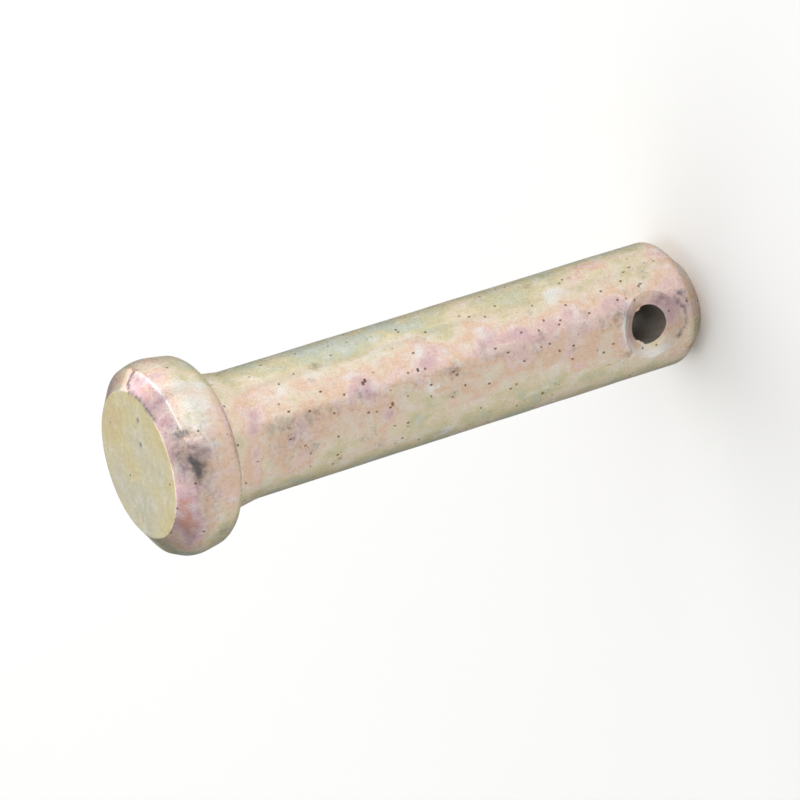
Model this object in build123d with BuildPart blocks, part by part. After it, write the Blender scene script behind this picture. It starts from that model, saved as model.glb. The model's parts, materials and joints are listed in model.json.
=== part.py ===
from build123d import *
import os

# Clevis pin, cold headed from one length of steel bar, with a cotter hole drilled across its tip.
# Millimetres. The pin stands on its tip, as it drops into a clevis: the origin is the centre of the
# tip's end face, +Z runs up the shank to the head, and the cotter hole runs along Y.

# Shank
shank_diameter = 12.7
underhead_length = 54.4

# Tip, a cone with its corner to the shank worn round
tip_chamfer_width = 2.0
tip_chamfer_length = 2.05
tip_corner_radius = 1.4

# Flare, where the shank swells into the head
flare_rise = 0.62
flare_length = 3.7
flare_radius = 5.0
flare_fillet = 0.4

# Head, with a bulged rim that is widest nearer to its flat face than to its underside
head_diameter = 19.5
head_height = 7.0
rim_bulge = 0.6
rim_widest_depth = 3.1
rim_crown_radius = 3.3
rim_foot_radius = 1.9

# Chamfer between the head's face and its rim
head_chamfer_width = 1.85
head_chamfer_length = 1.45
head_edge_radius = 0.3

# Cotter hole and the bevel cut round each of its mouths
cotter_hole_diameter = 4.0
cotter_hole_end_distance = 6.6
mouth_bevel_on_shank = 1.4
mouth_bevel_in_hole = 1.0

shank_radius = shank_diameter / 2
tip_face_radius = shank_radius - tip_chamfer_width
flare_top_radius = shank_radius + flare_rise
head_radius = head_diameter / 2
rim_edge_radius = head_radius - rim_bulge
head_face_radius = rim_edge_radius - head_chamfer_width
overall_length = underhead_length + head_height

# The two roundings on the head's underside share its width, so neither is larger than it leaves room for.
underside_width = rim_edge_radius - flare_top_radius
flare_fillet_fit = min(flare_fillet, 0.25 * underside_width)
rim_foot_fit = min(rim_foot_radius, 0.88 * underside_width)

with BuildPart() as clevis_pin:
    with BuildSketch(Plane.XZ):
        with BuildLine():
            outline = FilletPolyline(
                (0, 0),
                (tip_face_radius, 0),
                (shank_radius, tip_chamfer_length),
                (shank_radius, underhead_length - flare_length),
                (flare_top_radius, underhead_length),
                (rim_edge_radius, underhead_length),
                (head_radius, overall_length - rim_widest_depth),
                (rim_edge_radius, overall_length - head_chamfer_length),
                (head_face_radius, overall_length),
                (0, overall_length),
                radius=[
                    0,
                    tip_corner_radius,
                    flare_radius,
                    flare_fillet_fit,
                    rim_foot_fit,
                    rim_crown_radius,
                    head_edge_radius,
                    0,
                ],
            )
            Line(outline @ 1, outline @ 0)
        make_face()
    revolve(axis=Axis.Z)

    with Locations(Plane.XZ.shift_origin((0, 0, cotter_hole_end_distance))):
        Hole(cotter_hole_diameter / 2)
    hole_wall = clevis_pin.faces().filter_by(GeomType.CYLINDER).sort_by(SortBy.RADIUS)[0]
    hole_mouths = hole_wall.edges().filter_by(GeomType.LINE, reverse=True)
    chamfer(hole_mouths, length=mouth_bevel_in_hole, length2=mouth_bevel_on_shank, reference=hole_wall)

clevis_pin.part.label = "clevis_pin"
os.makedirs("parts", exist_ok=True)
export_step(clevis_pin.part, "parts/clevis_pin.step")
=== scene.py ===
"""A yellow-passivated clevis pin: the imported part's frame with a finely modelled, worn skin.

Lengths in the classes are millimetres and angles are degrees, unless a name says otherwise. The pin stands
on its tip, +Z runs up to the head, and the cotter hole runs along Y. A turn is measured round the shank from
the cotter hole's -Y mouth towards +X.
"""

from __future__ import annotations

import json
import logging
import math
import random
from dataclasses import dataclass, replace
from enum import Enum, IntEnum
from typing import Any, Iterable

import bmesh
import bpy
from mathutils import Matrix, Vector, noise
from mathutils.kdtree import KDTree

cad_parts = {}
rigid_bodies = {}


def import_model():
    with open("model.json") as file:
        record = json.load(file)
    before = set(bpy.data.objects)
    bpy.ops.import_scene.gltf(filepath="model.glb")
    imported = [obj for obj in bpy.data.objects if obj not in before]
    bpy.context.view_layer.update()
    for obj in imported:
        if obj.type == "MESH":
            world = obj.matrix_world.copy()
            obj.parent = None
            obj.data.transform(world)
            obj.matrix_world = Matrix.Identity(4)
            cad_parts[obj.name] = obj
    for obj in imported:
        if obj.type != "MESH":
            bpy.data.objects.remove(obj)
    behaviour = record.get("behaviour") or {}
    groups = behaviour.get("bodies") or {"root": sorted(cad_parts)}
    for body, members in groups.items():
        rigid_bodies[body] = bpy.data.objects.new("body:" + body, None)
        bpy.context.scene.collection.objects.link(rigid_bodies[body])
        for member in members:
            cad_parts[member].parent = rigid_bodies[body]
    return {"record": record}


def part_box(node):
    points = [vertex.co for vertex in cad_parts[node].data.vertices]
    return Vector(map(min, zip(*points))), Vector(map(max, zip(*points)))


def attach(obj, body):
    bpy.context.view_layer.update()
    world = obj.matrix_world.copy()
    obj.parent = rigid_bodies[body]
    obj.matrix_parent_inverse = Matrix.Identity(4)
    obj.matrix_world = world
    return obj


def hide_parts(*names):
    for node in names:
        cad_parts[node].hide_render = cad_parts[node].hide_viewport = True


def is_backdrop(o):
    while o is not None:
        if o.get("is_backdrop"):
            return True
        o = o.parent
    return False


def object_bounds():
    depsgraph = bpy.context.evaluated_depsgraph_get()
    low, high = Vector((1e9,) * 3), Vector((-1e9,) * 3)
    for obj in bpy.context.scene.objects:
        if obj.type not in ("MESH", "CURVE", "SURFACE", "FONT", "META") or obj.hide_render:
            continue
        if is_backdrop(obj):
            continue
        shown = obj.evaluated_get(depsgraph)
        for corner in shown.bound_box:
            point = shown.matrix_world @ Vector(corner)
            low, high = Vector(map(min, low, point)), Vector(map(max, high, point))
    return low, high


MM = 0.001
NODE = "clevis_pin"

# A noise seldom leaves these bounds.
NOISE_LOW, NOISE_HIGH = 0.3, 0.7
# A wave texture of scale 1 repeats at this distance.
WAVE_PERIOD = math.tau / 20
# The setting of a map range that sets in and ends gently.
SMOOTHLY = {"interpolation_type": "SMOOTHSTEP"}
# The power of e that is left of a mark at its half size, and how many half sizes it reaches.
MARK_FALL = -0.7
MARK_REACH = 2.6
SEAM_REACH = 2.2
# The share and the waves per millimetre of the raggedness of a mark's edge.
RAGGED_EDGE = ((0.5, 0.9), (0.3, 2.6))

Tree = bpy.types.NodeTree
Socket = bpy.types.NodeSocket
Inputs = dict[str | int, Any]

log = logging.getLogger("clevis_pin")


class Hue(Enum):
    """Colours of the plated surface, as sRGB hex."""

    SEA = "#c5cabd"
    OLIVE = "#c8c4a4"
    STRAW = "#d8caa6"
    CREAM = "#e1d4bf"
    PEACH = "#e3ccb8"
    TAN = "#dfbc9f"
    PINK = "#e8d2cb"
    ROSE = "#d9b6ae"
    LILAC = "#d0b6c1"
    SALMON = "#cfa196"
    # Chalk colours haze, scuffs and the painted highlights.
    CHALK_AND_HIGHLIGHT = "#e8e7e4"
    # Soot colours grime and the painted shade.
    SOOT_AND_SHADE = "#474c58"
    PORE = "#66503f"
    RUST = "#957a66"
    BORE_DARK = "#978e84"
    # The painted shade deep in the bore.
    BORE_PAINTED_SHADE = "#3a352e"
    BORE = "#b5ac9f"
    FACE_GREEN = "#c8c8b3"
    FACE_PALE = "#d9d0b8"
    FACE_STRAW = "#dad0a0"
    FACE_TAN = "#d8c4a2"
    FLOOR = "#f3f3f2"

    def linear(self) -> tuple[float, float, float, float]:
        """Turns the sRGB hex colour to linear light.

        Returns:
            Red, green, blue and an alpha of 1.
        """
        parts = [int(self.value[i : i + 2], 16) / 255 for i in (1, 3, 5)]
        red, green, blue = (c / 12.92 if c <= 0.04045 else ((c + 0.055) / 1.055) ** 2.4 for c in parts)
        return red, green, blue, 1.0


class Skin(IntEnum):
    """The material slots of the pin's mesh."""

    BODY = 0
    FACE = 1
    RING = 2
    BORE = 3
    PORE = 4


class Trace(Enum):
    """What a mark changes, as the name of the mesh attribute that carries it."""

    FILM = "film"
    # The rub marks are scuffs and some painted highlights; the soil marks are grime and some painted shade.
    RUB_AND_HIGHLIGHT = "rub"
    SOIL_AND_SHADE = "soil"


def add_node(
    tree: Tree,
    kind: str,
    settings: dict[str, Any] | None = None,
    links: Inputs | None = None,
    stops: Iterable[tuple[float, Hue]] = (),
) -> bpy.types.Node:
    """Adds a node with its settings, values and links.

    Args:
        tree: The node tree that takes it.
        kind: The node's type name, such as "ShaderNodeMix".
        settings: Properties of the node itself.
        links: For each input, the socket that feeds it or the value that it holds.
        stops: The colours of a colour ramp, as places from 0 to 1 and hues.

    Returns:
        The new node.
    """
    node = tree.nodes.new(kind)
    for name, value in (settings or {}).items():
        setattr(node, name, value)
    for name, value in (links or {}).items():
        if isinstance(value, Socket):
            tree.links.new(value, node.inputs[name])
        else:
            node.inputs[name].default_value = value
    for index, (place, hue) in enumerate(stops):
        node.color_ramp.interpolation = "B_SPLINE"
        elements = node.color_ramp.elements
        element = elements[index] if index < 2 else elements.new(place)
        element.position = place
        element.color = hue.linear()
    return node


def noise_inputs(place: Socket, size: float, detail: float, warp: float = 0.0) -> Inputs:
    """The inputs of a noise whose features have a real size.

    Args:
        place: The coordinates that it lies on, in metres.
        size: The features' size.
        detail: The octaves of finer noise.
        warp: How much it is distorted.

    Returns:
        The inputs by name.
    """
    return {"Vector": place, "Scale": 1 / (size * MM), "Detail": detail, "Distortion": warp}


def swing_inputs(value: Socket, middle: float, reach: float) -> Inputs:
    """The inputs of a map range that swings to both sides of a middle as a noise rises and falls.

    Args:
        value: The noise.
        middle: What it gives half way.
        reach: How far it goes to either side.

    Returns:
        The inputs by name.
    """
    swing = {"To Min": middle - reach, "To Max": middle + reach}
    return {"Value": value, "From Min": NOISE_LOW, "From Max": NOISE_HIGH, **swing}


def fade_inputs(value: Socket, span: tuple[float, float], most: float) -> Inputs:
    """The inputs of a map range that goes from 0 to its most.

    Args:
        value: What it follows.
        span: The values at which it leaves 0 and reaches its most.
        most: What it gives at most.

    Returns:
        The inputs by name.
    """
    return {"Value": value, "From Min": span[0], "From Max": span[1], "To Max": most}


@dataclass(frozen=True)
class Finish:
    """What a surface is and how it was made, as one shader."""

    name: str

    def make(self) -> bpy.types.Material:
        """Builds the material.

        Returns:
            The material.
        """
        material = bpy.data.materials.new(self.name)
        material.use_nodes = True
        tree = material.node_tree
        tree.nodes.clear()
        place = add_node(tree, "ShaderNodeTexCoord").outputs["Object"]
        shader = add_node(tree, "ShaderNodeBsdfPrincipled", links=self.inputs(tree, place))
        add_node(tree, "ShaderNodeOutputMaterial", links={"Surface": shader.outputs["BSDF"]})
        return material

    def inputs(self, tree: Tree, place: Socket) -> Inputs:
        """The shader's inputs.

        Args:
            tree: The material's tree.
            place: Object coordinates, in metres.

        Returns:
            The inputs by name.
        """
        raise NotImplementedError


@dataclass(frozen=True)
class Cover:
    """What hides the film in spots: haze, or wear, dirt, painted highlights and painted shade where a noise
    and the mesh's marks add up.

    Attributes:
        hue: Its colour.
        size: The size of the noise's spots.
        span: The sums at which it begins to show and covers most.
        most: How much it covers there.
        trace: The mesh attribute that carries its marks, where it has any.
        weight: How much the marks count against the noise.
        detail: The octaves of finer noise.
        warp: How much the noise is distorted.
    """

    hue: Hue
    size: float
    span: tuple[float, float]
    most: float
    trace: Trace | None = None
    weight: float = 0.0
    detail: float = 5.0
    warp: float = 0.3

    def share(self, tree: Tree, place: Socket) -> Socket:
        """How far it hides the film.

        Args:
            tree: The material's tree.
            place: The coordinates of its noise, in metres.

        Returns:
            The socket that gives the share, from 0 to 1.
        """
        spots = noise_inputs(place, self.size, self.detail, self.warp)
        total = add_node(tree, "ShaderNodeTexNoise", links=spots).outputs["Fac"]
        if self.trace:
            mark = add_node(tree, "ShaderNodeAttribute", {"attribute_name": self.trace.value})
            terms = {0: mark.outputs["Fac"], 1: self.weight, 2: total}
            total = add_node(tree, "ShaderNodeMath", {"operation": "MULTIPLY_ADD"}, terms).outputs[0]
        fade = fade_inputs(total, self.span, self.most)
        return add_node(tree, "ShaderNodeMapRange", SMOOTHLY, fade).outputs[0]


@dataclass(frozen=True)
class PassivatedZinc(Finish):
    """Zinc plate with an iridescent yellow passivate, barrel finished, so satin, with rubs and stains.

    The film is thinner than a wavelength or so, and its colour follows its thickness: sea green and straw
    where it is thin, then peach and pink, and lilac and salmon where it is thickest. What the eye gets is a
    soft pastel drift of hues with a fine grain, chalky scuffs down to bare zinc, grey grime and dark specks.
    Some of the chalk is painted highlight, and some of the grime is painted shade.
    """

    stops: tuple[tuple[float, Hue], ...]
    patch_size: float = 4.5
    patch_share: float = 0.17
    mottle_size: float = 1.6
    mottle_share: float = 0.08
    streak_size: float = 0.5
    streak_length: float = 3.0
    streak_share: float = 0.05
    haze: Cover = Cover(Hue.CHALK_AND_HIGHLIGHT, 1.5, (0.48, 0.72), 0.36, detail=6.0, warp=0.2)
    grain_size: float = 0.30
    grain_depth: float = 0.08
    grain_roughness: float = 0.03
    rub: Cover = Cover(Hue.CHALK_AND_HIGHLIGHT, 1.3, (0.56, 0.98), 0.75, Trace.RUB_AND_HIGHLIGHT, 0.45)
    rub_stretch: float = 2.0
    rub_polish: float = 0.05
    soil: Cover = Cover(Hue.SOOT_AND_SHADE, 0.45, (0.54, 1.50), 0.85, Trace.SOIL_AND_SHADE, 0.9)
    speck_spacing: float = 1.5
    speck_radius: float = 0.13
    speck_softness: float = 0.4
    speck_cover: float = 0.85
    roughness: float = 0.29
    metallic: float = 0.85
    anisotropic: float = 1.0
    specular_tint: float = 0.2
    sheen: float = 0.12
    sheen_roughness: float = 0.3
    dent_size: float = 1.1
    dent_share: float = 2.0
    bump_height: float = 0.008

    def inputs(self, tree: Tree, place: Socket) -> Inputs:
        """The shader's inputs: the film's colour under haze, grain, wear, painted highlights and painted
        shade, with its satin and relief.

        Args:
            tree: The material's tree.
            place: Object coordinates, in metres.

        Returns:
            The inputs by name.
        """
        grain = add_node(tree, "ShaderNodeTexNoise", links=noise_inputs(place, self.grain_size, 3.0))
        grain = grain.outputs["Fac"]
        drawn_out = {"Vector": place, "Scale": (1.0, 1.0, 1 / self.rub_stretch)}
        rubbed = add_node(tree, "ShaderNodeMapping", links=drawn_out).outputs["Vector"]
        # The rub cover carries painted highlights besides scuffs, and the soil cover carries painted shade
        # besides grime.
        rub = self.rub.share(tree, rubbed)
        soil = self.soil.share(tree, place)
        film = self.film_thickness(tree, place)
        colour = add_node(tree, "ShaderNodeValToRGB", links={"Fac": film}, stops=self.stops).outputs["Color"]
        colour = self.covered(tree, colour, [(self.haze.share(tree, place), self.haze.hue)])
        colour = self.grained(tree, colour, grain)
        covers = [(rub, self.rub.hue), (soil, self.soil.hue), (self.specks(tree, place), Hue.PORE)]
        inputs = {
            "Base Color": self.covered(tree, colour, covers),
            "Metallic": self.metallic,
            "Roughness": self.satin(tree, grain, rub),
            "Specular Tint": (self.specular_tint,) * 3 + (1.0,),
            "Sheen Weight": self.sheen,
            "Sheen Roughness": self.sheen_roughness,
            "Anisotropic": self.anisotropic,
            "Anisotropic Rotation": 0.25,
            "Normal": self.relief(tree, place, grain),
        }
        if self.anisotropic:
            round_pin = {"direction_type": "RADIAL", "axis": "Z"}
            inputs["Tangent"] = add_node(tree, "ShaderNodeTangent", round_pin).outputs["Tangent"]
        return inputs

    def film_thickness(self, tree: Tree, place: Socket) -> Socket:
        """The film's thickness: what the mesh carries, with broad patches, a finer mottle and streaks.

        Args:
            tree: The material's tree.
            place: Object coordinates, in metres.

        Returns:
            The socket that gives the thickness, about from 0 to 1.
        """
        film = add_node(tree, "ShaderNodeAttribute", {"attribute_name": Trace.FILM.value}).outputs["Fac"]
        drawn_out = {"Vector": place, "Scale": (1.0, 1.0, self.streak_size / self.streak_length)}
        streaked = add_node(tree, "ShaderNodeMapping", links=drawn_out).outputs["Vector"]
        layers = (
            (noise_inputs(place, self.patch_size, 2.0, 0.4), self.patch_share),
            (noise_inputs(place, self.mottle_size, 5.0, 0.1), self.mottle_share),
            (noise_inputs(streaked, self.streak_size, 3.0, 0.2), self.streak_share),
        )
        for inputs, share in layers:
            layer = add_node(tree, "ShaderNodeTexNoise", links=inputs).outputs["Fac"]
            swing = add_node(tree, "ShaderNodeMapRange", {"clamp": False}, swing_inputs(layer, 0.0, share))
            total = add_node(tree, "ShaderNodeMath", {"operation": "ADD"}, {0: film, 1: swing.outputs[0]})
            film = total.outputs[0]
        return film

    def covered(self, tree: Tree, colour: Socket, covers: Iterable[tuple[Socket, Hue]]) -> Socket:
        """The colour with haze, chalk and painted highlights, grime and painted shade, or pores laid over
        it, one after another.

        Args:
            tree: The material's tree.
            colour: The colour underneath.
            covers: For each, how much it covers and its colour.

        Returns:
            The socket of the covered colour.
        """
        for cover, hue in covers:
            layers = {0: cover, 6: colour, 7: hue.linear()}
            colour = add_node(tree, "ShaderNodeMix", {"data_type": "RGBA"}, layers).outputs[2]
        return colour

    def grained(self, tree: Tree, colour: Socket, grain: Socket) -> Socket:
        """The colour made lighter and darker by the plate's grain.

        Args:
            tree: The material's tree.
            colour: The colour before it.
            grain: The grain's noise.

        Returns:
            The socket of the grained colour.
        """
        shades = swing_inputs(grain, 1.0, self.grain_depth)
        shade = add_node(tree, "ShaderNodeMapRange", {"clamp": False}, shades).outputs[0]
        scale = {"Vector": colour, "Scale": shade}
        return add_node(tree, "ShaderNodeVectorMath", {"operation": "SCALE"}, scale).outputs["Vector"]

    def specks(self, tree: Tree, place: Socket) -> Socket:
        """Small dark pores in the plate, scattered at random.

        The real ones are finer. They are drawn two or three dots of the picture wide, so that they show.

        Args:
            tree: The material's tree.
            place: Object coordinates, in metres.

        Returns:
            The socket that gives their cover, from 0 to 1.
        """
        spacing = {"Vector": place, "Scale": 1 / (self.speck_spacing * MM)}
        cells = add_node(tree, "ShaderNodeTexVoronoi", links=spacing)
        radius = self.speck_radius / self.speck_spacing
        edge = (radius * (1 + self.speck_softness), radius * (1 - self.speck_softness))
        fade = fade_inputs(cells.outputs["Distance"], edge, self.speck_cover)
        return add_node(tree, "ShaderNodeMapRange", SMOOTHLY, fade).outputs[0]

    def satin(self, tree: Tree, grain: Socket, rub: Socket) -> Socket:
        """The roughness, which the grain varies and rubbing, painted highlights included, polishes a little.

        Args:
            tree: The material's tree.
            grain: The grain's noise.
            rub: The rubbed cover, with its painted highlights.

        Returns:
            The socket that gives the roughness.
        """
        gloss = swing_inputs(grain, self.roughness, self.grain_roughness)
        varied = add_node(tree, "ShaderNodeMapRange", {"clamp": False}, gloss).outputs[0]
        polish = {0: rub, 1: -self.rub_polish, 2: varied}
        return add_node(tree, "ShaderNodeMath", {"operation": "MULTIPLY_ADD"}, polish).outputs[0]

    def relief(self, tree: Tree, place: Socket, grain: Socket) -> Socket:
        """The barrel finish's shallow dents and the plate's grain, as bump.

        Args:
            tree: The material's tree.
            place: Object coordinates, in metres.
            grain: The grain's noise.

        Returns:
            The socket that gives the bumped normal.
        """
        dents = add_node(tree, "ShaderNodeTexNoise", links=noise_inputs(place, self.dent_size, 2.0))
        mixed = {0: dents.outputs["Fac"], 1: self.dent_share, 2: grain}
        height = add_node(tree, "ShaderNodeMath", {"operation": "MULTIPLY_ADD"}, mixed).outputs[0]
        depth = {"Height": height, "Distance": self.bump_height * MM, "Strength": 1.0}
        return add_node(tree, "ShaderNodeBump", links=depth).outputs["Normal"]


@dataclass(frozen=True)
class BevelledZinc(PassivatedZinc):
    """The same plate on a countersunk mouth: the shank's hues cross it, over the cutter's faint rings."""

    hole_height: float = 0.0
    ring_spacing: float = 0.28
    ring_contrast: float = 0.035

    def grained(self, tree: Tree, colour: Socket, grain: Socket) -> Socket:
        """The grained colour, with the cutter's rings round the hole.

        Args:
            tree: The material's tree.
            colour: The colour before it.
            grain: The grain's noise.

        Returns:
            The socket of the ringed colour.
        """
        colour = super().grained(tree, colour, grain)
        place = add_node(tree, "ShaderNodeTexCoord").outputs["Object"]
        about_hole = {"Vector": place, "Location": (0, 0, -self.hole_height * MM), "Scale": (1, 0, 1)}
        rings = add_node(
            tree,
            "ShaderNodeTexWave",
            {"wave_type": "RINGS", "rings_direction": "SPHERICAL"},
            {
                "Vector": add_node(tree, "ShaderNodeMapping", links=about_hole).outputs["Vector"],
                "Scale": WAVE_PERIOD / (self.ring_spacing * MM),
                "Distortion": 1.5,
                "Detail": 3.0,
            },
        )
        contrast = {"To Min": 1 - self.ring_contrast, "To Max": 1 + self.ring_contrast}
        shade = add_node(tree, "ShaderNodeMapRange", links={"Value": rings.outputs["Fac"], **contrast})
        scale = {"Vector": colour, "Scale": shade.outputs[0]}
        return add_node(tree, "ShaderNodeVectorMath", {"operation": "SCALE"}, scale).outputs["Vector"]


@dataclass(frozen=True)
class DrilledZinc(Finish):
    """Zinc plate in a drilled bore: dull, and darker towards mid depth, as painted shade where little light
    reaches and a duller plate where little current reached.
    """

    name: str = "drilled_zinc"
    roughness: float = 0.6
    metallic: float = 0.7
    grain_size: float = 0.5
    # Painted shade: none this far from the bore's middle, and at its most this far.
    unshaded_from_axis: float = 4.6
    fully_shaded_from_axis: float = 0.8
    painted_shade_most: float = 0.7

    def inputs(self, tree: Tree, place: Socket) -> Inputs:
        """The shader's inputs: a mottle under painted shade that deepens with the depth in the hole.

        Args:
            tree: The material's tree.
            place: Object coordinates, in metres.

        Returns:
            The inputs by name.
        """
        grain = add_node(tree, "ShaderNodeTexNoise", links=noise_inputs(place, self.grain_size, 4.0))
        stops = [(0.35, Hue.BORE_DARK), (0.7, Hue.BORE)]
        colour = add_node(tree, "ShaderNodeValToRGB", links={"Fac": grain.outputs["Fac"]}, stops=stops)
        along_hole = add_node(tree, "ShaderNodeSeparateXYZ", links={"Vector": place}).outputs["Y"]
        from_axis = add_node(tree, "ShaderNodeMath", {"operation": "ABSOLUTE"}, {0: along_hole})
        # Painted shade: the bore darkens from its mouths towards its middle.
        span = (self.unshaded_from_axis * MM, self.fully_shaded_from_axis * MM)
        fade = fade_inputs(from_axis.outputs[0], span, self.painted_shade_most)
        depth = add_node(tree, "ShaderNodeMapRange", SMOOTHLY, fade).outputs[0]
        layers = {0: depth, 6: colour.outputs["Color"], 7: Hue.BORE_PAINTED_SHADE.linear()}
        painted_shade_colour = add_node(tree, "ShaderNodeMix", {"data_type": "RGBA"}, layers).outputs[2]
        return {"Base Color": painted_shade_colour, "Metallic": self.metallic, "Roughness": self.roughness}


@dataclass(frozen=True)
class OpenPore(Finish):
    """A pore through the plate, stained brown by what sat in it, so matt and dark."""

    name: str = "open_pore"
    tone_size: float = 3.0
    roughness: float = 0.8

    def inputs(self, tree: Tree, place: Socket) -> Inputs:
        """The shader's inputs: browns that change from pore to pore.

        Args:
            tree: The material's tree.
            place: Object coordinates, in metres.

        Returns:
            The inputs by name.
        """
        tone = add_node(tree, "ShaderNodeTexNoise", links=noise_inputs(place, self.tone_size, 2.0))
        stops = [(0.35, Hue.PORE), (0.7, Hue.RUST)]
        colour = add_node(tree, "ShaderNodeValToRGB", links={"Fac": tone.outputs["Fac"]}, stops=stops)
        return {"Base Color": colour.outputs["Color"], "Roughness": self.roughness}


@dataclass(frozen=True)
class FloorPaper(Finish):
    """Matt white paper, which gives the eye an even, pale ground."""

    name: str = "floor_paper"
    roughness: float = 0.9
    specular: float = 0.1

    def inputs(self, tree: Tree, place: Socket) -> Inputs:
        """The shader's inputs, all of them plain values."""
        gloss = {"Roughness": self.roughness, "Specular IOR Level": self.specular}
        return {"Base Color": Hue.FLOOR.linear(), **gloss}


def placed(name: str, data: bpy.types.ID) -> bpy.types.Object:
    """Adds an object to the scene.

    Args:
        name: What it is called.
        data: The mesh, lamp or camera that it holds.

    Returns:
        The object.
    """
    made = bpy.data.objects.new(name, data)
    bpy.context.collection.objects.link(made)
    return made


def as_object(name: str, shape: bmesh.types.BMesh) -> bpy.types.Object:
    """Turns a shape, which is used up, into an object.

    Args:
        name: What the object and its mesh are called.
        shape: The shape.

    Returns:
        The object.
    """
    mesh = bpy.data.meshes.new(name)
    shape.to_mesh(mesh)
    shape.free()
    return placed(name, mesh)


@dataclass(frozen=True)
class Mark:
    """One spot where the film, the wear or the dirt differs.

    Attributes:
        height: Its centre above the tip.
        turn: Its centre round the pin.
        length: Its half length along the outline.
        width: Its half width round the pin.
        amount: What it adds at its centre, or for the film the thickness there.
        radius: Its centre's distance from the axis, where that isn't the shank's.
    """

    height: float
    turn: float
    length: float
    width: float
    amount: float
    radius: float = 6.35

    def spread(self, tree: KDTree) -> Iterable[tuple[int, float]]:
        """The vertices that it reaches.

        Args:
            tree: The mesh's vertices.

        Yields:
            A vertex's index and how much of the mark shows there, from 0 to 1.
        """
        outward = heading(self.turn, 0)
        sideways = Vector((outward.y, -outward.x, 0))
        centre = outward * self.radius + Vector((0, 0, self.height))
        reach = MARK_REACH * max(self.length, self.width)
        for place, index, _ in tree.find_range(centre * MM, reach * MM):
            away = place / MM - centre
            across = away.dot(sideways) / self.width
            along = math.hypot(away.z, away.dot(outward)) / self.length
            ragged = sum((share * noise.noise(place / MM * waves) for share, waves in RAGGED_EDGE), 1.0)
            yield index, math.exp(MARK_FALL * (across * across + along * along) * ragged * ragged)


@dataclass(frozen=True)
class Seam:
    """A thin mark along a chain of points: a fold, a scratch, a scored arc or a polished edge.

    Attributes:
        points: Each point's height, turn and distance from the axis.
        width: Its half width.
        amount: What it adds in its middle.
        pieces: In how many steps it is drawn from one point to the next.
    """

    points: tuple[tuple[float, float, float], ...]
    width: float
    amount: float
    pieces: int = 24

    def spread(self, tree: KDTree) -> Iterable[tuple[int, float]]:
        """The vertices that it reaches.

        Args:
            tree: The mesh's vertices.

        Yields:
            A vertex's index and how much of the mark shows there, from 0 to 1.
        """
        shares: dict[int, float] = {}
        for start, end in zip(self.points, self.points[1:]):
            for piece in range(self.pieces + 1):
                height, turn, radius = Vector(start).lerp(Vector(end), piece / self.pieces)
                centre = heading(turn, 0) * radius + Vector((0, 0, height))
                for _, index, distance in tree.find_range(centre * MM, SEAM_REACH * self.width * MM):
                    share = math.exp(MARK_FALL * (distance / MM / self.width) ** 2)
                    shares[index] = max(share, shares.get(index, 0.0))
        yield from shares.items()


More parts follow.
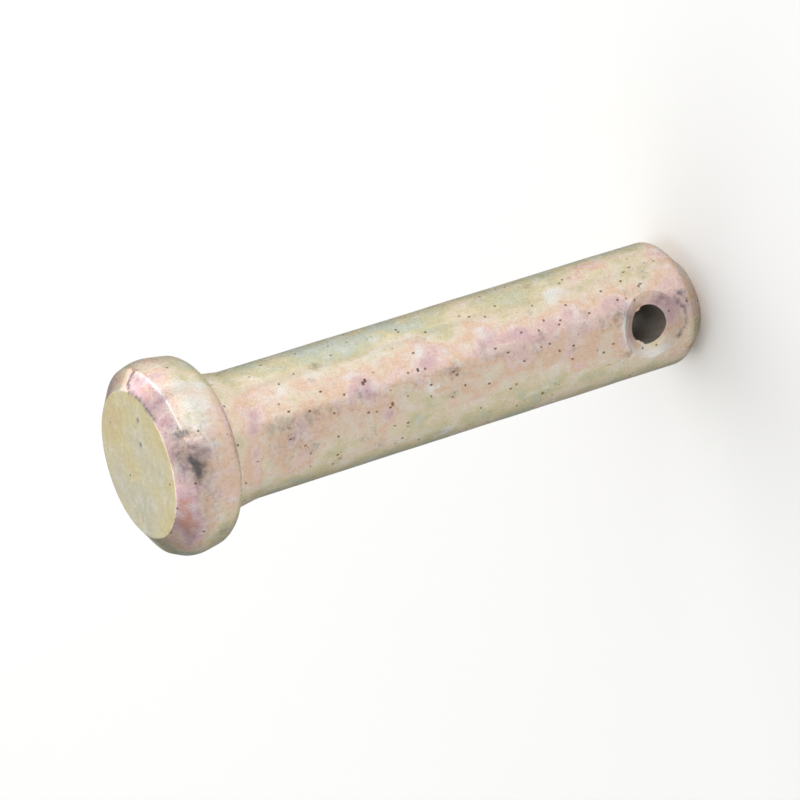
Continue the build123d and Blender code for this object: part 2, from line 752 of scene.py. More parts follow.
def hand_placed_marks() -> dict[Trace, dict[str, Mark | Seam]]:
    """The marks that can be told apart on this pin, with painted highlights and painted shade among them.

    Returns:
        For each thing that they change, the marks by name.
    """
    return {
        Trace.FILM: {
            "lilac spot by the paired pits": Mark(38.9, 25, 0.9, 0.9, 0.84),
            "lilac patch below the pits": Mark(37.1, -6, 1.0, 1.6, 0.86),
            "lilac patch on the flare": Mark(52.0, -8, 0.7, 2.0, 0.84),
            "lilac spot near mid shank": Mark(21.8, 31, 1.3, 0.6, 0.78),
            "lilac spot before the hole": Mark(11.1, 30, 1.2, 0.8, 0.78),
            "lilac spot under the hole": Mark(15.3, -15, 0.8, 0.7, 0.80),
            "pink band beside the tip": Mark(5.0, 36, 2.4, 0.9, 0.60),
            "orange stain near the flare": Mark(48.6, -11, 1.9, 2.2, 0.55),
            "orange stain below mid shank": Mark(38.4, -22, 1.9, 1.8, 0.53),
            "salmon spot above mid shank": Mark(31.0, 44, 1.2, 1.1, 0.66),
            "orange spot before the hole": Mark(16.1, 2, 1.6, 1.2, 0.53),
            "peach shoulder by the tip": Mark(6.4, 61, 2.6, 2.0, 0.34),
            "orange spot at the flare's top": Mark(49.4, 54, 1.8, 1.4, 0.53),
            "olive patch under mid shank": Mark(34.0, -18, 2.6, 1.8, 0.16),
            "olive patch under the orange": Mark(42.6, -20, 1.9, 1.5, 0.18),
            "sea green streak up the side": Mark(39.0, 76, 4.5, 1.6, 0.08),
            "sea green spot past mid shank": Mark(28.3, 57, 2.0, 1.1, 0.17),
            "olive patch by the hole": Mark(13.0, -30, 3.0, 1.3, 0.16),
            "pink mouth of the hole": Mark(5.4, 2, 2.0, 2.4, 0.74),
            "orange foot of the tip": Mark(4.2, -33, 2.4, 1.5, 0.53),
            "orange stain under the hole": Mark(12.4, -13, 2.2, 1.6, 0.53),
            "straw edge by the tip": Mark(8.0, -40, 3.4, 1.6, 0.24),
            "cream fillet under the head": Mark(53.3, 40, 1.0, 6.0, 0.34),
            "rose chamfer": Seam(((60.7, 86, 8.7), (60.7, 60, 8.75), (60.7, 40, 8.7)), 1.2, 1.12),
            "salmon chamfer": Seam(((60.7, -8, 8.65), (60.7, -24, 8.55), (60.7, -44, 8.4)), 1.3, 1.18),
            "peach chamfer": Mark(60.7, 108, 0.8, 2.2, 0.53, 8.4),
            "mauve lower chamfer": Mark(60.7, 2, 0.9, 1.7, 0.84, 8.6),
            "straw foot of the chamfer": Mark(61.0, -48, 0.8, 1.6, 0.26, 8.0),
            "reddish stain on the rim": Mark(58.9, 74, 0.7, 1.2, 0.95, 9.6),
            "peach top of the rim": Mark(58.6, 90, 1.2, 1.8, 0.50, 9.6),
            "pale rim": Mark(58.0, 45, 1.8, 3.8, 0.42, 9.6),
            "pinkish lower rim": Mark(58.0, -14, 1.6, 2.6, 0.62, 9.6),
            "orange foot of the rim": Mark(56.1, -18, 0.7, 2.0, 0.53, 9.4),
            "straw border of the flat": Mark(61.4, 50, 1.1, 5.0, 0.72, 6.6),
            "straw lower border of the flat": Mark(61.4, -10, 1.0, 4.0, 0.72, 6.3),
            "tan top of the flat": Mark(61.4, 125, 2.0, 2.6, 0.90, 6.0),
            "blue-grey cloud on the flat": Mark(61.4, -110, 2.4, 2.6, 0.20, 3.8),
            "brown spot on the flat": Mark(61.4, -150, 0.7, 0.7, 0.85, 1.2),
        },
        Trace.RUB_AND_HIGHLIGHT: {
            # Painted light: lightens the bevel's upper slope, which reflects the dark floor.
            "grey bloom on the bevel": Seam(((9.3, 6, 6.3), (8.7, 16, 6.3), (7.2, 25, 6.3)), 0.8, 0.55),
            "white scuff near the head": Mark(46.6, 45, 1.4, 0.8, 0.50),
            "white scuff at mid shank": Mark(41.0, 40, 1.3, 0.5, 0.55),
            "white scuff round the spot": Mark(36.4, 53, 1.0, 1.0, 0.60),
            "white halo of the pit": Mark(33.0, 27, 0.42, 0.42, 0.60),
            "chalky spot above mid shank": Mark(32.0, 41, 1.1, 0.8, 0.50),
            "white scuff past mid shank": Mark(27.3, 31, 1.3, 0.5, 0.50),
            "white scuff before the tip": Mark(15.9, 54, 0.9, 0.9, 0.50),
            # Partly wear down to bare zinc, partly painted light on a cone that reflects the floor's shadow.
            "bare cone of the tip": Mark(1.0, 40, 1.3, 4.5, 0.60, 5.4),
            "white scuff on the tip": Mark(4.9, 50, 0.7, 0.5, 0.60),
            "chalk on the lower flare": Mark(48.9, 33, 0.7, 1.2, 0.40),
            "grey smear under the scuff": Mark(41.6, 20, 1.8, 0.5, 0.45),
            "white blot near the flare": Mark(47.4, -10, 0.5, 0.6, 0.60),
            "pale patch beside the hole": Mark(7.0, -24, 1.4, 0.6, 0.50),
            "thin scratch round the shank": Seam(((32.3, 18, 6.35), (32.3, 6, 6.35)), 0.16, 0.6),
            "short scratch beside it": Seam(((31.4, 12, 6.35), (31.4, 7, 6.35)), 0.16, 0.6),
            # Partly paler plate and partly a painted highlight along the edge of the hole's mouth.
            "bright lip of the hole": Seam(
                (
                    (9.4, 14, 6.3), (9.95, 0, 6.3), (8.9, -19, 6.3),
                    (6.8, -29, 6.3), (5.1, -25, 6.3),
                ),
                0.36,
                1.0,
            ),
            # Painted highlight: a thin pale line along the flat's edge.
            "pale arc over the flat": Seam(
                ((61.1, 119, 7.7), (61.4, 104, 7.65), (61.4, 89, 7.6)), 0.2, 0.6
            ),
            # Painted highlight: a bright line along the ridge between the chamfer and the rim.
            "polished edge of the chamfer": Seam(
                ((60.0, 76, 9.35), (60.0, 52, 9.35), (60.0, 30, 9.35)), 0.2, 0.6
            ),
            # Painted highlight: a broad white-grey band on the rim's upper side.
            "chalky rim": Mark(57.9, 42, 1.5, 3.6, 0.95, 9.6),
            "chalk low on the rim": Mark(58.1, -22, 1.1, 1.8, 0.60, 9.6),
            "chalk spot on the flat": Mark(61.4, 75, 0.5, 0.25, 0.60, 3.8),
        },
        Trace.SOIL_AND_SHADE: {
            "soot on mid shank": Mark(29.4, 16, 0.7, 0.6, 0.36),
            # Painted reflection: darkens a band down the shank's middle, where a dark reflection runs.
            "grey veil along the shank": Seam(
                ((50.0, 17, 6.35), (40.0, 15, 6.35), (28.0, 16, 6.35), (10.0, 14, 6.35)), 0.8, 0.20
            ),
            # Darkens the flare's lower side.
            "grime on the lower flare": Mark(47.5, -4, 2.6, 1.6, 0.28),
            # Painted reflection: a darker stretch of the same band near the head.
            "soot streak along the shank": Mark(45.5, 17, 3.2, 0.55, 0.18),
            "grime beside the lilac spot": Mark(39.8, 22, 0.5, 0.4, 0.42),
            "soot before the hole": Mark(10.2, 20, 1.4, 0.8, 0.36),
            "soot under the hole": Mark(9.6, -18, 0.35, 0.35, 0.50),
            "violet grime by the tip": Mark(8.6, 37, 0.35, 0.3, 0.50),
            "grey halo of the low pit": Mark(19.6, -33, 0.5, 0.5, 0.42),
            "grey veil above the hole": Mark(4.6, 24, 2.2, 0.6, 0.36),
            "scored arc beside the hole": Seam(
                (
                    (3.6, 18, 6.3), (2.9, 9, 6.3), (2.75, 0, 6.3),
                    (3.1, -9, 6.3), (3.8, -17, 6.3),
                ),
                0.26,
                0.60,
            ),
            "dark smudge on the rim": Seam(((59.9, 15, 9.4), (59.5, 10, 9.5), (59.6, 3, 9.5)), 0.42, 0.52),
            "grey halo of the smudge": Mark(59.0, 12, 1.1, 1.7, 0.50, 9.6),
            "grey smear on the chamfer": Mark(60.7, 16, 0.7, 2.0, 0.50, 8.6),
            "grey veil on the rim": Mark(57.9, 32, 1.5, 2.4, 0.24, 9.6),
            # Darkens the rim's lower side.
            "grime low on the rim": Mark(58.2, -14, 1.4, 2.4, 0.24, 9.6),
            # Painted shade: the dark side of the small fold at the flat's edge.
            "dark fold at the flat's edge": Seam(
                (
                    (60.0, 89, 9.3), (60.4, 91, 8.8), (60.9, 90, 8.25), (61.3, 83, 7.8),
                    (61.3, 71, 7.9), (61.3, 59, 7.9), (61.2, 47, 8.0),
                ),
                0.22,
                0.80,
            ),
            "mauve end of the chamfer": Mark(60.5, 84, 0.6, 0.9, 0.45, 8.9),
            "dark spot on the flat": Mark(61.4, 69, 0.2, 0.2, 1.00, 5.5),
            "small dark spot on the flat": Mark(61.4, 56, 0.18, 0.18, 0.90, 3.2),
        },
    }


@dataclass(frozen=True)
class ScatteredMarks:
    """The marks too many to name, which lie all over the pin at random.

    Attributes:
        count: How many there are.
        sizes: Their least and greatest half size.
        amounts: The least and greatest that they add, or for the film its thicknesses.
        shank_radius: Their distance from the axis on the shank.
        rim_radius: The same on the head.
    """

    count: int
    sizes: tuple[float, float]
    amounts: tuple[float, float]
    shank_radius: float = 6.35
    rim_radius: float = 9.5

    def strewn(self, chooser: random.Random, length: float, head_height: float) -> Iterable[Mark]:
        """The marks, each at a random place.

        Args:
            chooser: The seeded source of chance.
            length: The pin's length.
            head_height: How much of it is the head.

        Yields:
            A mark.
        """
        for _ in range(self.count):
            height = chooser.uniform(0, length)
            yield Mark(
                height,
                chooser.uniform(-180, 180),
                chooser.uniform(*self.sizes),
                chooser.uniform(*self.sizes),
                chooser.uniform(*self.amounts),
                self.rim_radius if height > length - head_height else self.shank_radius,
            )


@dataclass(frozen=True)
class HoleRing:
    """One ring of the solid that cuts the hole.

    Attributes:
        share: 0 at the bore's edge, 1 at the shank's surface, and more outside it.
        side: -1 for the mouth at -Y, 1 for the one at +Y.
        skin: The finish of the wall that leads to it.
        groove: How deep the cutter went past the bevel.
        y: Where the ring lies, if it is a plain circle in one plane.
    """

    share: float
    side: float
    skin: Skin
    groove: float = 0.0
    y: float | None = None


@dataclass
class CotterHole:
    """The cross hole with its two countersunk mouths, as the solid that cuts them from the shank."""

    radius: float
    height: float
    shank_radius: float
    bevel_on_shank: float = 1.4
    bevel_in_hole: float = 1.0
    segments: int = 120
    bevel_rings: int = 16
    ring_depth: float = 0.0025
    wall_rings: int = 14
    clearance: float = 2.0
    edge_wander: float = 0.05
    burr_height: float = 0.16
    burr_width: float = 7.0
    burr_turns: tuple[float, ...] = (64.0, 298.0, 313.0)

    def point(self, angle: float, ring: HoleRing) -> Vector:
        """A point of a ring.

        Args:
            angle: Round the hole, from +Z towards +X, in radians.
            ring: The ring.

        Returns:
            The point.
        """
        radius = self.radius + self.bevel_on_shank * ring.share
        if ring.y is None and ring.share <= 0:
            radius -= self.burr(angle, ring.side)
        x = radius * math.sin(angle)
        surface = math.sqrt(self.shank_radius**2 - x * x)
        depth = surface - self.bevel_in_hole * (1 - ring.share) - ring.groove
        y = ring.side * depth if ring.y is None else ring.y
        return Vector((x, y, self.height + radius * math.cos(angle)))

    def burr(self, angle: float, side: float) -> float:
        """How far the bore's ragged edge stands into the hole.

        Args:
            angle: Round the hole, in radians.
            side: Which mouth.

        Returns:
            The height of the burr there.
        """
        wander = self.edge_wander * noise.noise(Vector((math.sin(angle) * 2, math.cos(angle) * 2, side * 3)))
        for turn in self.burr_turns:
            away = (math.degrees(angle) - turn * -side + 180) % 360 - 180
            wander += self.burr_height * math.exp(-((away / self.burr_width) ** 2))
        return wander

    def cutter(self) -> bpy.types.Object:
        """Grows the solid that the hole and its mouths leave out, ring by ring.

        Returns:
            The solid's object.
        """
        solid = bmesh.new()
        radius = self.radius * MM
        made = bmesh.ops.create_circle(solid, cap_ends=False, segments=self.segments, radius=radius)
        for vert in made["verts"]:
            vert.co = Vector((vert.co.x, 0, vert.co.y + self.height * MM))
        first, *others = self.rings()
        ring = self.put(made["verts"], first)
        for other in others:
            edges = {edge for vert in ring for edge in vert.link_edges if edge.other_vert(vert) in ring}
            made = bmesh.ops.extrude_edge_only(solid, edges=list(edges))["geom"]
            ring = self.put([item for item in made if isinstance(item, bmesh.types.BMVert)], other)
            for face in (item for item in made if isinstance(item, bmesh.types.BMFace)):
                face.material_index = other.skin
        bmesh.ops.holes_fill(solid, edges=[edge for edge in solid.edges if edge.is_boundary], sides=0)
        bmesh.ops.recalc_face_normals(solid, faces=solid.faces)
        return as_object("hole_cutter", solid)

    def rings(self) -> list[HoleRing]:
        """The cutter's rings, from outside the -Y mouth through the bore to outside the other.

        Returns:
            The rings in order.
        """
        outside = 1 + self.clearance / self.bevel_on_shank / 4
        end = self.shank_radius + self.clearance
        reach = self.point(0.0, HoleRing(0.0, 1.0, Skin.BORE)).y
        steps = range(self.bevel_rings + 1)
        bevel = [(index / self.bevel_rings, self.ring_depth * (index % 2)) for index in steps]
        walls = [-reach + 2 * reach * index / self.wall_rings for index in range(1, self.wall_rings)]
        return [
            HoleRing(outside, -1.0, Skin.RING, y=-end),
            HoleRing(outside, -1.0, Skin.RING),
            *(HoleRing(share, -1.0, Skin.RING, groove) for share, groove in reversed(bevel)),
            *(HoleRing(0.0, -1.0, Skin.BORE, y=wall) for wall in walls),
            HoleRing(0.0, 1.0, Skin.BORE),
            *(HoleRing(share, 1.0, Skin.RING, groove) for share, groove in bevel[1:]),
            HoleRing(outside, 1.0, Skin.RING),
            HoleRing(outside, 1.0, Skin.RING, y=end),
        ]

    def put(self, verts: Iterable[bmesh.types.BMVert], ring: HoleRing) -> set[bmesh.types.BMVert]:
        """Moves vertices to a ring, each at its own angle.

        Args:
            verts: The vertices.
            ring: The ring.

        Returns:
            The same vertices, as a set.
        """
        for vert in verts:
            angle = math.atan2(vert.co.x, vert.co.z - self.height * MM)
            vert.co = self.point(angle, ring) * MM
        return set(verts)


@dataclass
class PinBody:
    """The whole pin: tip, shank, flare and head turned from one outline, then drilled.

    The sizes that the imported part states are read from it, and the others repeat its drawing.
    """

    shank_radius: float
    length: float
    hole: CotterHole

    tip_chamfer_width: float = 2.0
    tip_chamfer_length: float = 2.05
    tip_corner_radius: float = 1.4
    flare_rise: float = 0.62
    flare_length: float = 3.7
    flare_radius: float = 5.0
    flare_fillet: float = 0.4
    head_radius: float = 9.75
    head_height: float = 7.0
    rim_bulge: float = 0.6
    rim_widest_depth: float = 3.1
    rim_crown_radius: float = 3.3
    rim_foot_radius: float = 1.9
    head_chamfer_width: float = 1.85
    head_chamfer_length: float = 1.45
    head_edge_radius: float = 0.3
    face_edge_radius: float = 0.3
    face_margin: float = 0.02

    ring_spacing: float = 0.3
    turn_steps: int = 216
    crease_angle: float = 38.0

    # How this one pin strays from its drawing: ends off centre, a tilted underside and slight waves, each of
    # a share of the waviness and a length.
    tip_shift: tuple[float, float] = (-0.37, -0.13)
    face_shift: tuple[float, float] = (0.32, -0.47)
    tip_shift_end: float = 2.6
    face_shift_depth: float = 3.1
    head_tilt: float = 0.02
    tilt_towards: tuple[float, float] = (0.94, 0.342)
    tilt_outside_shank: tuple[float, float] = (0.8, 1.8)
    tilt_above_underside: tuple[float, float] = (1.5, 4.0)
    waviness: float = 0.03
    waves: tuple[tuple[float, float], ...] = ((1.0, 5.5), (0.35, 1.8))
    head_waviness: float = 1.8
    still_radius: float = 1.0
    wavy_radius: float = 5.0

    # The film's thickness before any mark. The pink bands are turns and half widths.
    film_thin: float = 0.13
    film_swing: float = 0.42
    film_thick_turn: float = 18.0
    film_sharpness: float = 1.8
    film_pink: float = 0.10
    film_pink_bands: tuple[tuple[float, float], ...] = ((34, 16), (-130, 20))
    film_on_face: float = 0.45
    film_on_cone: float = 0.38
    cone_end: tuple[float, float] = (1.4, 2.6)

    # The open pores, by chance and at the heights and turns where this pin has its clearest ones.
    pit_count: int = 150
    pit_depth: float = 0.06
    pit_face_area: float = 0.065
    pit_rims: tuple[float, ...] = (0.02, 0.04, 0.055, 0.065)
    pit_gap_to_bevel: float = 0.5
    pit_lowest: float = 2.5
    pit_search: float = 0.5
    pit_spot_radius: float = 0.14
    pit_spot_rim: float = 0.03
    seed: int = 7
    pit_spots: tuple[tuple[float, float], ...] = (
        (38.7, 32), (39.1, 30), (36.6, 5), (37.0, 3), (32.3, 75), (32.7, 73), (33.0, 27),
        (19.6, -33), (30.8, 34), (6.8, 41), (7.1, 40), (8.6, 37), (29.4, 16), (9.5, -18),
    )
    scattered: tuple[tuple[Trace, ScatteredMarks], ...] = (
        (Trace.FILM, ScatteredMarks(90, (0.6, 2.2), (0.12, 0.74))),
        (Trace.RUB_AND_HIGHLIGHT, ScatteredMarks(80, (0.3, 1.2), (0.20, 0.55))),
        (Trace.SOIL_AND_SHADE, ScatteredMarks(110, (0.2, 0.8), (0.20, 0.52))),
    )

    @classmethod
    def from_frame(cls, record: dict[str, Any]) -> PinBody:
        """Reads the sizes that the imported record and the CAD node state.

        Args:
            record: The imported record.

        Returns:
            The pin, ready to be modelled.
        """
        mounts = {mount["name"]: mount for mount in record["mounts"]}
        low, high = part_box(NODE)
        radius = mounts["shank"]["dims"]["r_mm"]
        hole = CotterHole(
            radius=mounts["cotter_hole"]["dims"]["r_mm"],
            height=mounts["cotter_hole"]["pos_m"][2] / MM,
            shank_radius=radius,
        )
        return cls(shank_radius=radius, length=(high[2] - low[2]) / MM, hole=hole)

    def corners(self) -> list[tuple[float, float, float]]:
        """The outline's corners, from the tip's centre to the head's.

        Returns:
            Each corner's distance from the axis, height and rounding.
        """
        underhead = self.length - self.head_height
        rim_edge = self.head_radius - self.rim_bulge
        return [
            (0.0, 0.0, 0.0),
            (self.shank_radius - self.tip_chamfer_width, 0.0, 0.1),
            (self.shank_radius, self.tip_chamfer_length, self.tip_corner_radius),
            (self.shank_radius, underhead - self.flare_length, self.flare_radius),
            (self.shank_radius + self.flare_rise, underhead, self.flare_fillet),
            (rim_edge, underhead, self.rim_foot_radius),
            (self.head_radius, self.length - self.rim_widest_depth, self.rim_crown_radius),
            (rim_edge, self.length - self.head_chamfer_length, self.head_edge_radius),
            (rim_edge - self.head_chamfer_width, self.length, self.face_edge_radius),
            (0.0, self.length, 0.0),
        ]

    def outline(self) -> list[Vector]:
        """The outline with its corners rounded by arcs, in millimetres.

        Returns:
            The outline's points.
        """
        corners = self.corners()
        points = [Vector(corners[0][:2])]
        for before, corner, after in zip(corners, corners[1:], corners[2:]):
            points += rounded(Vector(before[:2]), Vector(corner[:2]), Vector(after[:2]), corner[2])
        return points + [Vector(corners[-1][:2])]

    def turned(self) -> bmesh.types.BMesh:
        """The outline spun into a closed solid.

        Returns:
            The solid, in metres.
        """
        body = bmesh.new()
        outline = self.outline()
        chain = [body.verts.new((outline[0].x * MM, 0, outline[0].y * MM))]
        for start, end in zip(outline, outline[1:]):
            pieces = max(1, round((end - start).length / self.ring_spacing))
            for index in range(1, pieces + 1):
                point = start.lerp(end, index / pieces)
                chain.append(body.verts.new((point.x * MM, 0, point.y * MM)))
        edges = [body.edges.new(pair) for pair in zip(chain, chain[1:])]
        bmesh.ops.spin(
            body,
            geom=chain + edges,
            cent=(0, 0, 0),
            axis=(0, 0, 1),
            angle=math.tau,
            steps=self.turn_steps,
            use_merge=True,
        )
        bmesh.ops.remove_doubles(body, verts=body.verts, dist=0.0005 * MM)
        bmesh.ops.recalc_face_normals(body, faces=body.faces)
        for face in body.faces:
            flat = face.calc_center_median().z > (self.length - self.face_margin) * MM
            face.material_index = Skin.FACE if flat else Skin.BODY
        return body

    def make_uneven(self, body: bmesh.types.BMesh) -> None:
        """Gives the turned solid the true one's off-centre ends, tilted head and slight waves.

        Args:
            body: The turned solid.
        """
        underhead = self.length - self.head_height
        tip, face, tilt = (Vector((*to, 0)) for to in (self.tip_shift, self.face_shift, self.tilt_towards))
        in_from, in_to = (self.shank_radius + width for width in self.tilt_outside_shank)
        out_from, out_to = (underhead + rise for rise in self.tilt_above_underside)
        for vert in body.verts:
            place = vert.co / MM
            radius = math.hypot(place.x, place.y)
            at_tip = 1 - smooth(0.0, self.tip_shift_end, place.z)
            at_face = smooth(self.length - self.face_shift_depth, self.length, place.z)
            place += tip * at_tip + face * at_face
            behind = smooth(in_from, in_to, radius) * (1 - smooth(out_from, out_to, place.z))
            place.z -= self.head_tilt * place.dot(tilt) * behind
            if radius > self.still_radius:
                wave = sum(share * noise.noise(place / length) for share, length in self.waves)
                swell = self.waviness * (self.head_waviness if place.z > underhead else 1.0)
                grown = min(1.0, (radius - self.still_radius) / (self.wavy_radius - self.still_radius))
                place += Vector((place.x, place.y, 0)).normalized() * wave * swell * grown
            vert.co = place * MM

    def drilled(self, blank: bmesh.types.BMesh) -> bpy.types.Mesh:
        """Cuts the cotter hole and its mouths.

        Args:
            blank: The turned solid, which is used up.

        Returns:
            The drilled mesh.
        """
        solid = as_object("pin_blank", blank)
        cutter = self.hole.cutter()
        cut = solid.modifiers.new("cotter_hole", "BOOLEAN")
        cut.operation = "DIFFERENCE"
        cut.solver = "EXACT"
        cut.object = cutter
        cut.material_mode = "INDEX"
        graph = bpy.context.evaluated_depsgraph_get()
        drilled = bpy.data.meshes.new_from_object(solid.evaluated_get(graph))
        bpy.data.objects.remove(solid)
        bpy.data.objects.remove(cutter)
        return drilled

    def pit(self, body: bmesh.types.BMesh) -> None:
        """Sinks small open pores into the plate at random.

        Args:
            body: The drilled solid.
        """
        chooser = random.Random(self.seed)
        ring_reach = self.hole.radius + self.hole.bevel_on_shank + self.pit_gap_to_bevel
        open_faces = []
        for face in body.faces:
            middle = face.calc_center_median() / MM
            clear_of_hole = math.hypot(middle.x, middle.z - self.hole.height) > ring_reach
            high = middle.z > self.pit_lowest
            small = face.calc_area() < self.pit_face_area * MM * MM
            plain = face.material_index == Skin.BODY and len(face.verts) == 4
            if plain and clear_of_hole and high and small:
                open_faces.append(face)
        finder = KDTree(len(open_faces))
        for index, face in enumerate(open_faces):
            finder.insert(face.calc_center_median(), index)
        finder.balance()
        chosen = []
        while len(chosen) < self.pit_count:
            height, turn = chooser.uniform(self.pit_lowest, self.length), chooser.uniform(-180, 180)
            radius = self.head_radius if height > self.length - self.head_height else self.shank_radius
            spot = heading(turn, 0) * radius + Vector((0, 0, height))
            _, index, away = finder.find(spot * MM)
            if away < self.pit_search * MM and open_faces[index] not in chosen:
                chosen.append(open_faces[index])
        for group, rim in enumerate(self.pit_rims):
            faces = chosen[group :: len(self.pit_rims)]
            bmesh.ops.inset_individual(body, faces=faces, thickness=rim * MM, depth=-self.pit_depth * MM)
        for face in chosen:
            face.material_index = Skin.PORE
        for height, turn in self.pit_spots:
            spot = (heading(turn, 0) * self.shank_radius + Vector((0, 0, height))) * MM
            whole = [face for face in open_faces if face.material_index == Skin.BODY]
            reach = self.pit_spot_radius * MM
            near = [face for face in whole if (face.calc_center_median() - spot).length < reach]
            rim = self.pit_spot_rim * MM
            bmesh.ops.inset_region(body, faces=near, thickness=rim, depth=-self.pit_depth * MM)
            for face in near:
                face.material_index = Skin.PORE

    def drift(self, place: Vector) -> float:
        """The film's thickness before any mark: thin on two opposite sides of the pin, thick between them.

        Args:
            place: A point of the surface, in millimetres.

        Returns:
            The thickness, from 0 to 1.
        """
        if place.z > self.length - self.face_margin:
            return self.film_on_face
        turn = math.degrees(math.atan2(place.x, -place.y))
        broad = 0.5 + 0.5 * math.cos(math.radians(2 * (turn - self.film_thick_turn)))
        pink = sum(math.exp(-(((turn - middle) / width) ** 2)) for middle, width in self.film_pink_bands)
        thickness = self.film_thin + self.film_swing * broad**self.film_sharpness + self.film_pink * pink
        cone = 1 - smooth(*self.cone_end, place.z)
        return thickness + (self.film_on_cone - thickness) * cone

    def stain(self, body: bmesh.types.BMesh) -> None:
        """Writes the film, wear and dirt, with the painted highlights and painted shade, to the mesh's
        attributes.

        Args:
            body: The finished solid.
        """
        layers = {trace: body.verts.layers.float.new(trace.value) for trace in Trace}
        tree = KDTree(len(body.verts))
        body.verts.ensure_lookup_table()
        for vert in body.verts:
            tree.insert(vert.co, vert.index)
            vert[layers[Trace.FILM]] = self.drift(vert.co / MM)
        tree.balance()
        chooser = random.Random(self.seed)
        head = (self.length, self.head_height)
        marks = [(trace, mark) for trace, group in self.scattered for mark in group.strewn(chooser, *head)]
        marks += [(trace, mark) for trace, group in hand_placed_marks().items() for mark in group.values()]
        for trace, mark in marks:
            layer = layers[trace]
            for index, share in mark.spread(tree):
                vert = body.verts[index]
                base = vert[layer] if trace is Trace.FILM else 0.0
                vert[layer] += (mark.amount - base) * share
        log.info("marks: %d", len(marks))

    def build(self) -> bpy.types.Object:
        """Models the pin and gives it its object.

        Returns:
            The pin's object.
        """
        blank = self.turned()
        self.make_uneven(blank)
        drilled = self.drilled(blank)
        body = bmesh.new()
        body.from_mesh(drilled)
        self.pit(body)
        body.verts.index_update()
        self.stain(body)
        pin = as_object("pin_body", body)
        pin.data.shade_smooth()
        pin.data.set_sharp_from_angle(angle=math.radians(self.crease_angle))
        return pin

    def dress(self, pin: bpy.types.Object) -> None:
        """Gives the pin its finishes, in the order of its material slots.

        Args:
            pin: The pin's object.
        """
        body_stops = (
            (0.0, Hue.SEA),
            (0.12, Hue.OLIVE),
            (0.24, Hue.STRAW),
            (0.36, Hue.CREAM),
            (0.45, Hue.PEACH),
            (0.53, Hue.TAN),
            (0.62, Hue.PINK),
            (0.72, Hue.ROSE),
            (0.82, Hue.LILAC),
            (0.96, Hue.SALMON),
        )
        face_hues = (Hue.FACE_GREEN, Hue.FACE_PALE, Hue.FACE_STRAW, Hue.FACE_TAN)
        face_stops = tuple(zip((0.1, 0.4, 0.7, 0.95), face_hues))
        finishes = {
            Skin.BODY: PassivatedZinc("yellow_passivate_on_turned_zinc", body_stops),
            Skin.FACE: PassivatedZinc(
                "yellow_passivate_on_pressed_face",
                face_stops,
                roughness=0.5,
                anisotropic=0.0,
                speck_spacing=2.4,
            ),
            Skin.RING: BevelledZinc(
                "yellow_passivate_on_countersunk_mouth",
                body_stops,
                roughness=0.42,
                anisotropic=0.0,
                haze=replace(PassivatedZinc.haze, most=0.3),
                hole_height=self.hole.height,
            ),
            Skin.BORE: DrilledZinc(),
            Skin.PORE: OpenPore(),
        }
        for skin in Skin:
            pin.data.materials.append(finishes[skin].make())


def smooth(start: float, end: float, value: float) -> float:
    """Rises smoothly from 0 at start to 1 at end.

    Args:
        start: Where it leaves 0.
        end: Where it reaches 1.
        value: Where it is read.

    Returns:
        The share, from 0 to 1.
    """
    share = min(1.0, max(0.0, (value - start) / (end - start)))
    return share * share * (3 - 2 * share)


def rounded(
    before: Vector, corner: Vector, after: Vector, radius: float, arc_step: float = 9.0
) -> list[Vector]:
    """The arc that rounds a corner of an outline.

    Args:
        before: The point before the corner.
        corner: The corner.
        after: The point after it.
        radius: The arc's radius, or 0 for a sharp corner.
        arc_step: The most degrees between two points of the arc.

    Returns:
        The points of the arc, or the corner itself.
    """
    back = (before - corner).normalized()
    ahead = (after - corner).normalized()
    turn = math.pi - back.angle(ahead)
    if radius <= 0 or turn < 1e-4:
        return [corner]
    middle = corner + (back + ahead).normalized() * radius / math.cos(turn / 2)
    first = corner + back * radius * math.tan(turn / 2) - middle
    side = math.copysign(1.0, first.cross(ahead))
    steps = max(2, math.ceil(math.degrees(turn) / arc_step))
    return [middle + Matrix.Rotation(side * turn * i / steps, 2) @ first for i in range(steps + 1)]


@dataclass(frozen=True)
class Panel:
    """A soft rectangular lamp that looks at the pin's middle.

    Attributes:
        name: What it is called.
        turn: Which way round the pin it stands.
        elevation: How high above the horizon.
        distance: How far from the pin's middle.
        width: Its width.
        height: Its height.
        radiance: How bright it looks, where 1 is as bright as white.
    """

    name: str
    turn: float
    elevation: float
    distance: float
    width: float
    height: float
    radiance: float

    def hang(self, aim: Vector) -> None:
        """Makes the lamp.

        Args:
            aim: The point that it looks at, in millimetres.
        """
        back = heading(self.turn, self.elevation)
        data = bpy.data.lights.new(self.name, "AREA")
        data.shape = "RECTANGLE"
        data.size = self.width * MM
        data.size_y = self.height * MM
        data.energy = self.radiance * math.pi * data.size * data.size_y
        lamp = placed(self.name, data)
        lamp.visible_camera = False
        facing = (-back).to_track_quat("-Z", "Y").to_matrix().to_4x4()
        lamp.matrix_world = Matrix.Translation((aim + back * self.distance) * MM) @ facing


def heading(turn: float, elevation: float) -> Vector:
    """The direction from the pin towards something round and above it.

    Args:
        turn: Its angle round the pin.
        elevation: Its angle above the horizon.

    Returns:
        The unit vector.
    """
    around, above = math.radians(turn), math.radians(elevation)
    level = math.cos(above)
    return Vector((math.sin(around) * level, -math.cos(around) * level, math.sin(above)))


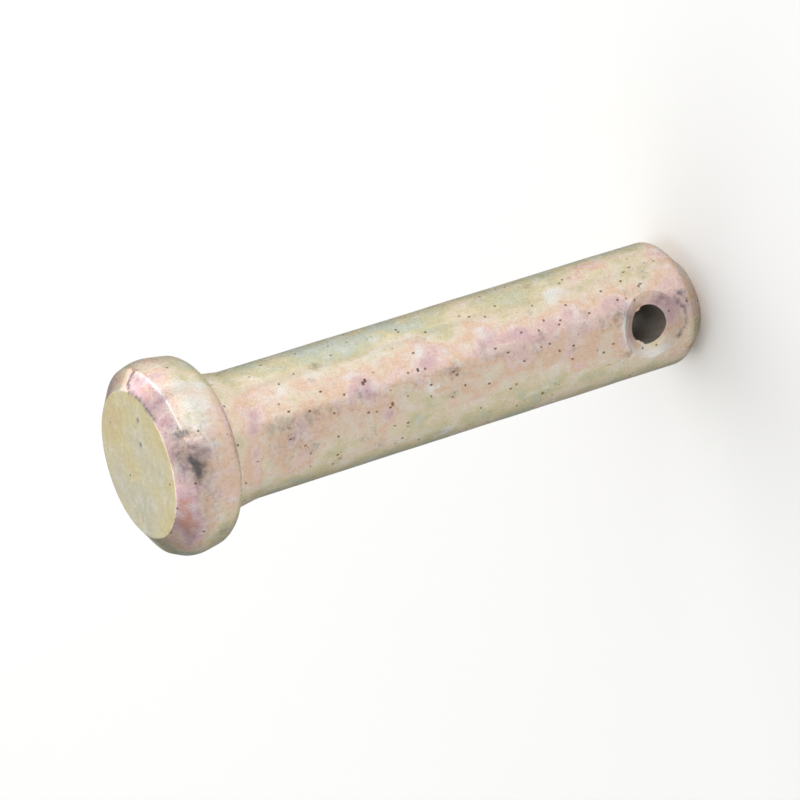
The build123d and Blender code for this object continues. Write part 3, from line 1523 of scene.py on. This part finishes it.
@dataclass
class Studio:
    """A pale floor under plain soft light, and the camera at the photograph's viewing angle."""

    head_centre: Vector
    azimuth: float = 20.0
    elevation: float = 26.38
    roll: float = 107.6
    distance: float = 479.18
    head_left_of_axis: float = 24.94
    head_below_axis: float = 6.344
    lens: float = 227.81
    sensor_width: float = 36.0
    nearest: float = 10.0
    farthest: float = 20000.0
    floor_radius: float = 3000.0
    world_strength: float = 0.47
    panels: tuple[Panel, ...] = (
        Panel("side_lamp", 56, 22, 620, 700, 400, 1.90),
        Panel("far_side_lamp", 131, 22, 620, 860, 400, 1.98),
        Panel("rear_lamp", 177, 14, 620, 200, 400, 0.75),
        Panel("back_lamp", 205, 68, 700, 700, 500, 1.98),
        Panel("near_side_lamp", 305, 20, 620, 500, 300, 0.26),
    )

    def set_camera(self) -> None:
        """Places the camera so that the head's face lies where the photograph has it."""
        data = bpy.data.cameras.new("camera")
        data.lens = self.lens
        data.sensor_width = self.sensor_width
        data.clip_start = self.nearest * MM
        data.clip_end = self.farthest * MM
        camera = placed("camera", data)
        back = heading(self.azimuth, self.elevation)
        level = (-back).to_track_quat("-Z", "Y").to_matrix()
        facing = level @ Matrix.Rotation(-math.radians(self.roll), 3, "Z")
        right, up = facing.col[0], facing.col[1]
        offset = right * self.head_left_of_axis + up * self.head_below_axis + back * self.distance
        camera.matrix_world = Matrix.Translation((self.head_centre + offset) * MM) @ facing.to_4x4()
        bpy.context.scene.camera = camera

    def lay_floor(self) -> None:
        """Lays the floor that the pin stands on."""
        sheet = bmesh.new()
        bmesh.ops.create_circle(sheet, cap_ends=True, segments=96, radius=self.floor_radius * MM)
        floor = as_object("floor", sheet)
        floor.data.materials.append(FloorPaper().make())
        floor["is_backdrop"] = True

    def light(self) -> None:
        """Lights the scene evenly from all round, with soft lamps at the sides and behind."""
        world = bpy.data.worlds.new("studio")
        bpy.context.scene.world = world
        world.use_nodes = True
        background = world.node_tree.nodes["Background"]
        background.inputs["Color"].default_value = (1, 1, 1, 1)
        background.inputs["Strength"].default_value = self.world_strength
        for panel in self.panels:
            panel.hang(Vector((0, 0, self.head_centre.z / 2)))


def main() -> None:
    """Builds the pin and its studio in order."""
    logging.basicConfig(level=logging.INFO, format="%(message)s")
    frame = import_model()
    cad_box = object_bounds()
    bpy.context.scene.view_settings.view_transform = "Standard"

    body = PinBody.from_frame(frame["record"])
    studio = Studio(head_centre=Vector((0, 0, body.length)))
    studio.set_camera()
    studio.lay_floor()
    studio.light()

    pin = body.build()
    body.dress(pin)
    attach(pin, "root")
    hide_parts(NODE)
    log.info("pin_body: %d faces", len(pin.data.polygons))

    sizes = {"cad": cad_box, "visual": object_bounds()}
    {name: [list(corner) for corner in box] for name, box in sizes.items()}


if __name__ == "__main__":
    main()
